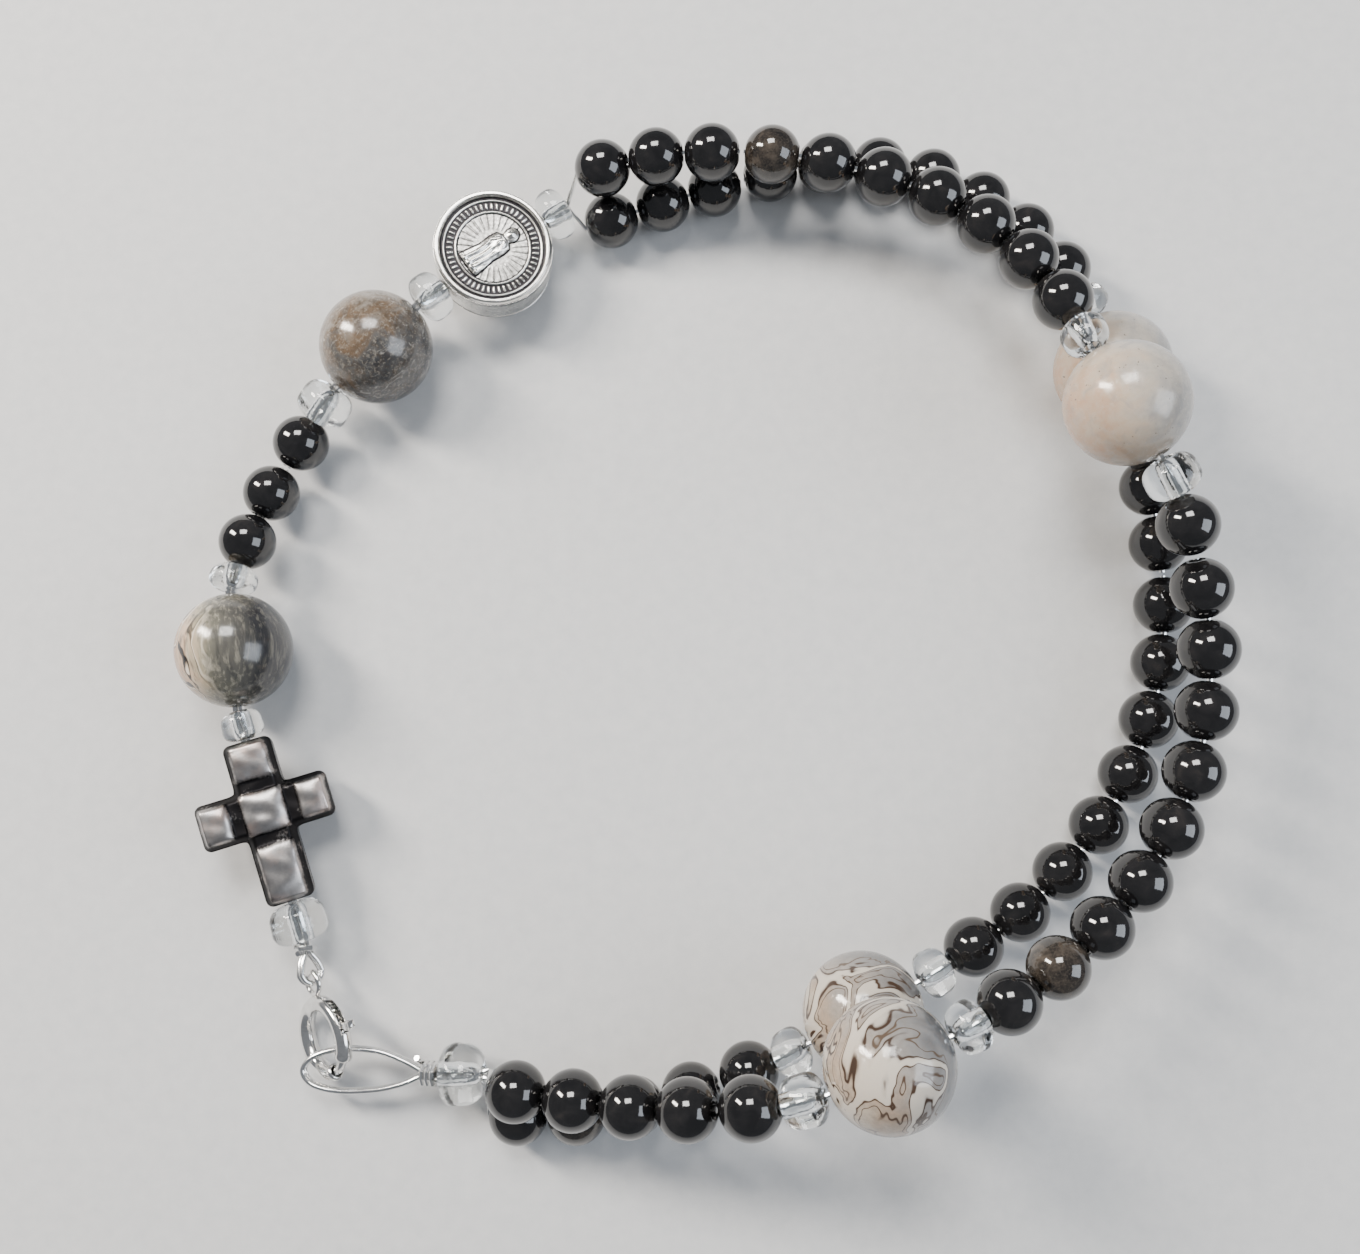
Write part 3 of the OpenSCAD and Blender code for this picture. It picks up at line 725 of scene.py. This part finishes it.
def figure(q, s):
    """Relief of a robed figure with joined hands: q across, s from the feet to the head."""
    half = np.interp(s, [-2.35, -2.2, -1.6, -0.6, 0.3, 0.9, 1.12, 1.25],
                     [0.5, 0.98, 0.92, 0.76, 0.82, 0.74, 0.42, 0.1])
    ends = step(s, -2.34, -2.15) * (1 - step(s, 1.05, 1.3))
    body = np.clip(1 - (abs(q) / np.maximum(half, 0.05)) ** 2.6, 0, 1) ** 0.5 * ends
    folds = 0.042 * np.cos(q * 15 + 0.9 * np.sin(s * 2.1)) * (1 - step(s, -0.5, 0.4))
    forearms = step(s, -0.2, 0.1) * (1 - step(s, 0.75, 1.0))
    sleeves = 0.05 * hill(abs(q) - 0.30 - 0.55 * (0.7 - s), 0, 0.10) * forearms
    mantle = 0.045 * hill(abs(q), 0.50 + 0.10 * np.sin(s * 1.7), 0.07) * (1 - step(s, 0.5, 0.9))
    hem = 0.04 * hill(s, -2.05 + 0.05 * np.cos(q * 9), 0.07)
    h = 0.235 * body + body * (folds + sleeves + mantle + hem)
    hands = hill(q, 0, 0.11) * hill(s, 0.58, 0.24)
    h = h + 0.07 * hands
    head = np.clip(1 - ((q / 0.36) ** 2 + ((s - 1.66) / 0.44) ** 2), 0, 1) ** 0.5
    veil = np.clip(1 - ((q / 0.52) ** 2 + ((s - 1.60) / 0.60) ** 2), 0, 1) ** 0.5
    h = np.maximum(h, 0.22 * veil)
    eyes = 0.030 * hill(abs(q), 0.13, 0.055) * hill(s, 1.71, 0.045)
    nose = 0.030 * hill(q, 0, 0.045) * hill(s, 1.64, 0.10)
    mouth = 0.018 * hill(q, 0, 0.10) * hill(s, 1.45, 0.03)
    face = 0.30 * head - eyes + nose - mouth
    return np.where(head > 0.02, np.maximum(h * 0.9, face), h)


def medal_face(x, y, front):
    """Height and wear of one face at x across and y along the bore, in mm."""
    r = np.hypot(x, y)
    a = np.arctan2(y, x)
    rim = 0.34 * step(r, 3.68, 3.82)
    edge = -0.30 * step(r, 3.98, 4.2) ** 2
    outer = 0.085 * hill(r, 3.46, 0.055)
    inner = 0.10 * hill(r, 2.62, 0.060)
    ticks = 0.10 * step(np.cos(a * 52), 0.15, 0.75) * step(r, 2.80, 2.88) * (1 - step(r, 3.20, 3.28))
    h = rim + edge + outer + inner + ticks
    inside = 1 - step(r, 2.42, 2.5)
    rays = 0.020 * step(np.cos(a * 30), 0.3, 0.9) * step(r, 1.3, 1.6) * inside
    if front:
        fig = figure(x, y) * inside
        h = h + np.maximum(fig, rays)
        outline = np.clip(figure(x, y) / 0.08, 0, 1)
        near = np.clip(figure(x * 0.90, y * 0.97) / 0.08, 0, 1)
        worn = np.where(r < 2.45, np.where(outline > 0.9, 0.45 + fig * 2.2, 0.42 - 0.42 * near),
                        0.15 + 7.5 * (outer + inner + ticks) + 3 * rim)
    else:
        star = 0.16 * step(np.cos(a * 2) ** 8 * 1.9 - r * 0.35, 0.15, 0.45) * inside
        h = h + np.maximum(star, rays)
        worn = 0.22 + 7.5 * (outer + inner + ticks) + 3 * rim + 4 * star
    return MEDAL_FIELD + h, np.clip(worn, 0, 1)


pts, tri = triangles("medal")
used = pts[np.unique(tri)]
centre, axes, mid, normal, area = main_axes(pts, tri)
disc = axes[:, 0]
disc = disc if disc[2] > 0 else -disc
tilt = abs(normal @ disc)
bore_wall = (tilt > 0.12) & (tilt < 0.93) & (np.linalg.norm(mid - centre, axis=1) < 3.4)
bore_axis = np.linalg.svd(normal[bore_wall] * np.sqrt(area[bore_wall])[:, None], full_matrices=False)[2][2]
bore_axis = unit(bore_axis - disc * (bore_axis @ disc))
if bore_axis @ way_round(used) < 0:
    bore_axis = -bore_axis
across = np.cross(disc, bore_axis)
centre = box_middle(used, (disc, bore_axis, across))
medal_m = frame_of(-across, bore_axis, disc, centre * MM)

gx, gy, gf, ge = disc_grid(176)
r_top = MEDAL_R - 0.03
top_h, top_w = medal_face(gx * MEDAL_R, gy * MEDAL_R, True)
low_h, low_w = medal_face(-gx * MEDAL_R, gy * MEDAL_R, False)
top = np.c_[gx * r_top, gy * r_top, top_h]
low = np.c_[gx * r_top, gy * r_top, -low_h]
grid = len(gx)
points, worn = [top, low], [top_w, low_w]
faces = [tuple(q) for q in gf] + [tuple(q[::-1] + grid) for q in gf]
wall = []
for k, level in enumerate((0.8, 0.45, 0.0, -0.45, -0.8)):
    bulge = r_top + 0.03 * (1 - (level / 1.2) ** 2)
    points.append(np.c_[gx[ge] * bulge, gy[ge] * bulge, np.full(len(ge), level * 1.1)])
    worn.append(np.full(len(ge), 0.75))
    wall.append([2 * grid + k * len(ge) + i for i in range(len(ge))])
chain = [list(ge)] + wall + [[i + grid for i in ge]]
for a, b in zip(chain, chain[1:]):
    for i in range(len(ge)):
        j = (i + 1) % len(ge)
        faces.append((a[j], a[i], b[i], b[j]))
coin = np.concatenate(points)
first = coin[list(faces[0])]
if np.cross(first[1] - first[0], first[2] - first[1])[2] < 0:
    faces = [f[::-1] for f in faces]
medal = build("medal_coin", coin, faces, [SILVER], BODY_OF["medal"], ["medal"],
              m=medal_m, worn=np.concatenate(worn), later=True)
rod, rod_f = along_path([(0, -6, 0), (0, 6, 0)], BORE_R, 32)
cut(medal, rod, rod_f)
settle(medal)

# ---------------------------------------------------------------- cross
pts, tri = triangles("cross")
used = pts[np.unique(tri)]
axes = main_axes(pts, tri)[1]
thick, post = axes[:, 0], axes[:, 2]
thick = thick if thick[2] > 0 else -thick
post = post if post @ way_round(used) > 0 else -post
arm = np.cross(post, thick)
centre = box_middle(used, (thick, post, arm))
cross_m = frame_of(arm, post, thick, centre * MM)
# In mm: half the post, half the arms, half a bar's width, the crossing's height above the post's middle,
# and half the thickness
CROSS_L, CROSS_W, BAR, ARM_AT, HALF_T = 5.65, 4.4, 1.6, 0.7, 2.0


def cross_reach(a):
    """Distance from the crossing to the outline in direction a, in mm."""
    near, far = np.full(len(a), 0.5), np.full(len(a), 8.0)
    for _ in range(40):
        half = (near + far) / 2
        within = inside_by(half * np.cos(a), half * np.sin(a)) > 0
        near, far = np.where(within, half, near), np.where(within, far, half)
    return near


def inside_by(x, y):
    """How far inside the outline a place is."""
    def box(px, py, hx, hy, soft=0.5):
        dx, dy = abs(px) - hx + soft, abs(py) - hy + soft
        return soft - np.hypot(np.maximum(dx, 0), np.maximum(dy, 0)) - np.minimum(np.maximum(dx, dy), 0)
    one, two = box(x, y + ARM_AT, BAR, CROSS_L), box(x, y, CROSS_W, BAR)
    blend = np.maximum(0.6 - abs(one - two), 0) / 0.6
    return np.maximum(one, two) + 0.09 * blend ** 2 * (np.minimum(one, two) > -0.6)


def cross_top(x, y):
    """Height and wear of a face of the cross, from the crossing."""
    d = inside_by(x, y)
    along_arm = np.where(abs(x) > abs(y), abs(x), abs(y))
    aside = np.where(abs(x) > abs(y), abs(y), abs(x))
    tip = np.where(abs(x) > abs(y), CROSS_W, np.where(y > 0, CROSS_L - ARM_AT, CROSS_L + ARM_AT))
    middle_pad = (tip + 1.95) / 2
    half_pad = (tip - 1.95) / 2 - 0.28

    def dome(t, power):
        return np.clip(1 - t ** power, 0, 1) ** 0.5
    pad = dome(abs(along_arm - middle_pad) / half_pad, 3.2) * dome(aside / 1.30, 3.0)
    boss = dome(along_arm / 1.45, 3.0) * dome(aside / 1.45, 3.0)
    ridge = 0.16 * hill(along_arm, tip - 0.30, 0.16) * (1 - step(aside, 0.9, 1.4))
    relief = np.maximum(0.36 * pad, 0.42 * boss)
    dimple = 0.06 * np.exp(-(x ** 2 + y ** 2) / 0.30)
    ripple = 0.035 * np.sin(2.3 * x + 1.1 * np.sin(1.7 * y)) * np.sin(2.9 * y + 0.8)
    h = 1.56 + relief + ridge + ripple - dimple - 0.62 * (1 - step(d, -0.05, 0.62)) ** 1.6
    worn = np.clip(0.16 + 2.0 * relief + 2.5 * ridge + 4 * ripple, 0, 1)
    return np.minimum(h, HALF_T - 0.01), worn


SPOKES = 420
angles = np.linspace(-math.pi, math.pi, SPOKES, endpoint=False)
reach = cross_reach(angles)
rings = np.concatenate([np.linspace(0.03, 0.86, 42), np.linspace(0.875, 1.0, 14)])


def cross_face(scales, side):
    """Rings of points and their wear over the upper face, side 1, or the lower, side -1."""
    out, wear = [], []
    for k in scales:
        x, y = k * reach * np.cos(angles), k * reach * np.sin(angles)
        shrink = 1 - 0.006 * (k > 0.99)
        h, w = cross_top(x, y)
        out.append(np.c_[x * shrink, y * shrink + ARM_AT, side * h])
        wear.append(w)
    return out, wear


def cross_side():
    """Rings of points and their wear down the side, with a seam half way."""
    out, wear = [], []
    upper = ((0.80, 0.985), (0.42, 0.998), (0.14, 1.0), (0.06, 0.990))
    for level, inset in upper + ((0.0, 0.987),) + tuple((-z, k) for z, k in reversed(upper)):
        wave = 0.10 * np.sin(angles * 9) + 0.06 * np.sin(angles * 23)
        x, y = reach * np.cos(angles) * inset, reach * np.sin(angles) * inset
        out.append(np.c_[x, y + ARM_AT, level * 1.2 + wave * (abs(level) < 0.3)])
        wear.append(np.full(SPOKES, 0.55 if abs(level) < 0.16 else 0.12))
    return out, wear


peak = cross_top(np.array([0.0]), np.array([0.0]))[0][0]
points, worn = [np.array([[0, ARM_AT, peak]])], [np.array([0.9])]
for part, wear in (cross_face(rings, 1), cross_side(), cross_face(rings[::-1], -1)):
    points += part
    worn += wear
points.append(np.array([[0, ARM_AT, -peak]]))
worn.append(np.array([0.9]))
shell = np.concatenate(points)
loops = (len(shell) - 2) // SPOKES
faces = [(0, 1 + j, 1 + (j + 1) % SPOKES) for j in range(SPOKES)]
for k in range(loops - 1):
    a, b = 1 + k * SPOKES, 1 + (k + 1) * SPOKES
    for j in range(SPOKES):
        q = (j + 1) % SPOKES
        faces.append((a + j, b + j, b + q, a + q))
last = len(shell) - 1
a = 1 + (loops - 1) * SPOKES
faces += [(last, a + (j + 1) % SPOKES, a + j) for j in range(SPOKES)]
cross = build("cross_bead", shell, faces, [GUNMETAL], BODY_OF["cross"], ["cross"],
              m=cross_m, worn=np.concatenate(worn), later=True)
rod, rod_f = along_path([(0, -8, 0), (0, 8, 0)], BORE_R, 32)
cut(cross, rod, rod_f)
settle(cross)

# ---------------------------------------------------------------- clasp, loops and wraps
LEAN, TURN = math.radians(43), math.radians(15)


def turned(v):
    """A direction of the clasp's own frame, leaned and turned as the clasp lies."""
    x = v[0] * math.cos(LEAN) - v[2] * math.sin(LEAN)
    z = v[0] * math.sin(LEAN) + v[2] * math.cos(LEAN)
    c, s = math.cos(TURN), math.sin(TURN)
    return np.array([x * c - v[1] * s, x * s + v[1] * c, z])


lo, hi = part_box("clasp_eye")
eye_at = np.array((lo + hi) / 2) / MM
# In mm: the radius of the ring, of its tube, of the eye and of its wire, and the eye's distance from the
# ring's middle
RING_R, TUBE, EYE_R, EYE_W, EYE_AT = 2.325, 0.575, 0.75, 0.2, 3.70
FLAT = np.array([0, 0, 1.0])
ring_at = eye_at - turned((0, EYE_AT, 0))
clasp_m = frame_of(turned((1, 0, 0)), turned((0, 1, 0)), turned((0, 0, 1)), ring_at * MM)


def arc_points(start, end, radius, count):
    """Points on an arc round the ring's middle, in degrees."""
    a = np.radians(np.linspace(start, end, count))
    return np.c_[radius * np.cos(a), radius * np.sin(a), np.zeros(count)]


def bent_lathe(profile, start, end, sides):
    """A closed profile of (radius, place 0 to 1) swept round the ring's tube from start to end degrees."""
    p = np.asarray(profile, float)
    ang = np.radians(start + (end - start) * p[:, 1])
    b = np.arange(sides) * FULL_TURN / sides
    reach = RING_R + p[:, 0][:, None] * np.cos(b)
    x, y = reach * np.cos(ang)[:, None], reach * np.sin(ang)[:, None]
    pts = np.stack([x, y, p[:, 0][:, None] * np.sin(b)], -1)
    return pts.reshape(-1, 3), grid_faces(len(p), sides)[:, [0, 3, 2, 1]]


TUBE_FROM, TUBE_TO, TUBE_BORE = -40, 285, 0.405
outer = []
for t in np.linspace(0, 1, 120):
    along = t * (TUBE_TO - TUBE_FROM)
    from_end = min(along, TUBE_TO - TUBE_FROM - along)
    collar = 0.030 * (1 - step(from_end, 9, 10.5)) + 0.030 * hill(along, 130.0, 9)
    softened = 0.10 * max(0, 1 - from_end / 2.2) ** 2
    outer.append((TUBE - 0.032 + collar - softened, t))
inner = []
stops = (1.0, 0.93, 0.7, 0.5, 0.25, 0.12, 0.0)
for t0, t1 in zip(stops, stops[1:]):
    inner += [(TUBE_BORE, t0 + (t1 - t0) * k) for k in np.linspace(0, 1, 14, endpoint=False)]
inner.append((TUBE_BORE, 0.0))
ring_p, ring_f = bent_lathe(outer + inner, TUBE_FROM, TUBE_TO, 40)
ring = build("clasp_spring_ring", ring_p, ring_f, [CHROME], BODY_OF["clasp_ring"],
             ["clasp_ring"], m=clasp_m, later=True)
slot_angles = np.radians(np.linspace(3, 57, 28))
slot_pts, slot_f = [], []
for a in slot_angles:
    for rr, zz in ((RING_R + 0.2, -0.25), (RING_R + 1.2, -0.25), (RING_R + 1.2, 0.25), (RING_R + 0.2, 0.25)):
        slot_pts.append((rr * math.cos(a), rr * math.sin(a), zz))
for k in range(len(slot_angles) - 1):
    for j in range(4):
        q = (j + 1) % 4
        slot_f.append((4 * k + j, 4 * k + 4 + j, 4 * k + 4 + q, 4 * k + q))
slot_f.append((0, 1, 2, 3))
slot_f.append(tuple(4 * (len(slot_angles) - 1) + j for j in (3, 2, 1, 0)))
cut(ring, slot_pts, slot_f)
settle(ring)

eye_turn = np.arange(64) * FULL_TURN / 64
eye_path = np.array([(EYE_R * math.cos(a), EYE_AT + EYE_R * math.sin(a), 0) for a in eye_turn])
eye_r = EYE_W * (1 - 0.06 * np.sin(eye_turn * 3) ** 2)
p, f = along_path(eye_path, eye_r, 20, closed=True, steady=FLAT)
build("clasp_eye_ring", p, f, [CHROME], BODY_OF["clasp_eye"], ["clasp_eye"], m=clasp_m)

bolt_path, bolt_r = rounded_ends(arc_points(-80, 22, RING_R, 50), 0.300)
bolt_p, bolt_f = along_path(bolt_path, bolt_r, 28, steady=FLAT)
trigger = build("clasp_trigger_tab", bolt_p, bolt_f, [CHROME], BODY_OF["clasp_trigger"],
                ["clasp_trigger"], m=clasp_m, later=True)
KNOB = math.radians(10)


def at_knob(p):
    """Points turned round the ring to where the thumb tab stands."""
    x, y, z = np.asarray(p, float).T
    c, s = math.cos(KNOB), math.sin(KNOB)
    return np.c_[x * c - y * s, x * s + y * c, z]


shank = at_knob([(RING_R, 0, 0), (RING_R + 0.3, 0, 0), (RING_R + 1.0, 0, 0)])
p, f = along_path(shank, 0.195, 24, steady=FLAT)
cut(trigger, p, f, "UNION")
tab = []
TAB_SIDES, TAB_STEPS = 48, 27
TAB_AT, TAB_HALF_L, TAB_HALF_W, TAB_HALF_T = RING_R + TUBE + 0.65, 0.49, 0.295, 0.27
for s in np.linspace(-1, 1, TAB_STEPS):
    shrink = (1 - abs(s) ** 7) ** 0.4 if abs(s) < 1 else 0.12
    pinch = 1 - 0.10 * hill(s, 0.15, 0.22) - 0.05 * step(-s, 0.3, 0.9)
    for k in range(TAB_SIDES):
        c, d = math.cos(FULL_TURN * k / TAB_SIDES), math.sin(FULL_TURN * k / TAB_SIDES)
        e = (abs(c) ** 5 + abs(d) ** 5) ** -0.2 * shrink
        tab.append((TAB_AT + TAB_HALF_L * s, TAB_HALF_W * c * e * pinch,
                    TAB_HALF_T * d * e * (2 - pinch) * 0.93))
tab_p = at_knob(tab)
tab_f = []
for k in range(TAB_STEPS - 1):
    for j in range(TAB_SIDES):
        q = (j + 1) % TAB_SIDES
        tab_f.append((k * TAB_SIDES + j, k * TAB_SIDES + q, (k + 1) * TAB_SIDES + q, (k + 1) * TAB_SIDES + j))
tab_f.append(tuple(range(TAB_SIDES - 1, -1, -1)))
tab_f.append(tuple((TAB_STEPS - 1) * TAB_SIDES + j for j in range(TAB_SIDES)))
cut(trigger, tab_p, tab_f, "UNION")
settle(trigger)

# The end loop's route is the one placed in part.scad, beside a ring whose middle is there
ROUTE_RING_AT = np.array([-23.8, -28.0, 2.17])
END_LOOP = np.array([[-17.2, -30.0, 2.2], [-18.4, -29.4, 2.2], [-20.2, -28.8, 2.2], [-22.7, -28.7, 2.2],
                     [-24.5, -29.2, 2.2], [-25.2, -30.1, 2.2], [-24.5, -31, 2.2], [-22.7, -31.4, 2.2],
                     [-20.2, -31.3, 2.2], [-18.4, -30.9, 2.2], [-17.2, -30.4, 2.2]])
end_route = END_LOOP - (ROUTE_RING_AT - ring_at)
WIRE_R, WIRE_ASIDE = 0.185, 0.2
parts = []
for side in (-1, 1):
    parts.append(along_path(spline(end_route, 14) + FLAT * WIRE_ASIDE * side, WIRE_R, 16))
p, f, _ = merged(parts)
build("end_loop_wires", p, f, [WIRE], BODY_OF["end_loop"], ["end_loop"])

HEAD_R = 0.75
bend = [(HEAD_R * math.sin(a), HEAD_R * (1 - math.cos(a))) for a in np.radians(np.arange(90, -91, -15))]
HEAD = [(0.2, 2.0), (0.55, 1.4)] + bend + [(-0.55, 1.4), (-0.2, 2.0)]
parts = []
for side in (-1, 1):
    path = np.array([ring_at + turned((WIRE_ASIDE * side, EYE_AT + q[1], q[0])) for q in HEAD])
    parts.append(along_path(spline(path, 6), WIRE_R, 16, steady=turned((1, 0, 0))))
p, f, _ = merged(parts)
build("head_loop_wires", p, f, [WIRE], BODY_OF["head_loop"], ["head_loop"])


def coat(node, material):
    """The material of a CAD piece that is shown as it is."""
    NODES[node].data.materials.clear()
    NODES[node].data.materials.append(material)


for node in NODES:
    if node.startswith("wire_") or node.endswith("_wrap"):
        coat(node, WIRE)
coat("clasp_spring", CHROME)

# ---------------------------------------------------------------- stage
floor_look = Look("floor")
paper = floor_look.noise(0.9, detail=8, rough=0.6)
floor_look.to("Base Color", floor_look.ramp(paper, (0.3, (0.60, 0.605, 0.61)), (0.7, (0.66, 0.66, 0.66))))
floor_look.to("Normal", floor_look.bump(paper, 0.10, 0.05))
floor_look.fixed(Roughness=0.85)
me = bpy.data.meshes.new("floor")
HALF_FLOOR, FLOOR_BELOW = 0.6, 0.00002
corners = [(-1, -1), (1, -1), (1, 1), (-1, 1)]
me.from_pydata([(HALF_FLOOR * x, HALF_FLOOR * y, 0) for x, y in corners], [], [(0, 1, 2, 3)])
me.materials.append(floor_look.mat)
floor = bpy.data.objects.new("floor", me)
floor.location.z = -FLOOR_BELOW
bpy.context.scene.collection.objects.link(floor)


def lamp(name, at, size, power, colour, aim=(0, 0, 0)):
    data = bpy.data.lights.new(name, "AREA")
    data.shape = "RECTANGLE"
    data.size, data.size_y = size
    data.energy = power
    data.color = colour
    o = bpy.data.objects.new(name, data)
    bpy.context.scene.collection.objects.link(o)
    o.location = at
    o.rotation_euler = (Vector(aim) - Vector(at)).to_track_quat("-Z", "Y").to_euler()


lamp("key", (-0.22, 0.13, 0.20), (0.05, 0.14), 1.6, (1.0, 0.93, 0.84))
lamp("window", (-0.02, 0.20, 0.34), (0.16, 0.12), 1.3, (1.0, 0.98, 0.95))
lamp("fill", (0.30, -0.05, 0.22), (0.22, 0.22), 0.9, (0.84, 0.91, 1.0))
world = bpy.data.worlds.new("studio")
world.use_nodes = True
world.node_tree.nodes["Background"].inputs[0].default_value = (0.72, 0.76, 0.82, 1)
world.node_tree.nodes["Background"].inputs[1].default_value = 0.30
bpy.context.scene.world = world

camera_data = bpy.data.cameras.new("camera")
camera_data.lens = 34.4
camera_data.sensor_width = 36
camera_data.sensor_fit = "HORIZONTAL"
camera_data.clip_start = 0.001
camera_data.dof.use_dof = False
camera = bpy.data.objects.new("camera", camera_data)
bpy.context.scene.collection.objects.link(camera)
right, upward, back = (0.9986, 0.0, -0.0523), (0.0068, 0.9914, 0.1304), (0.0519, -0.1305, 0.9901)
spot = (0.0040, -0.01224, 0.09112)
camera.matrix_world = frame_of(right, upward, back, spot)
bpy.context.scene.camera = camera
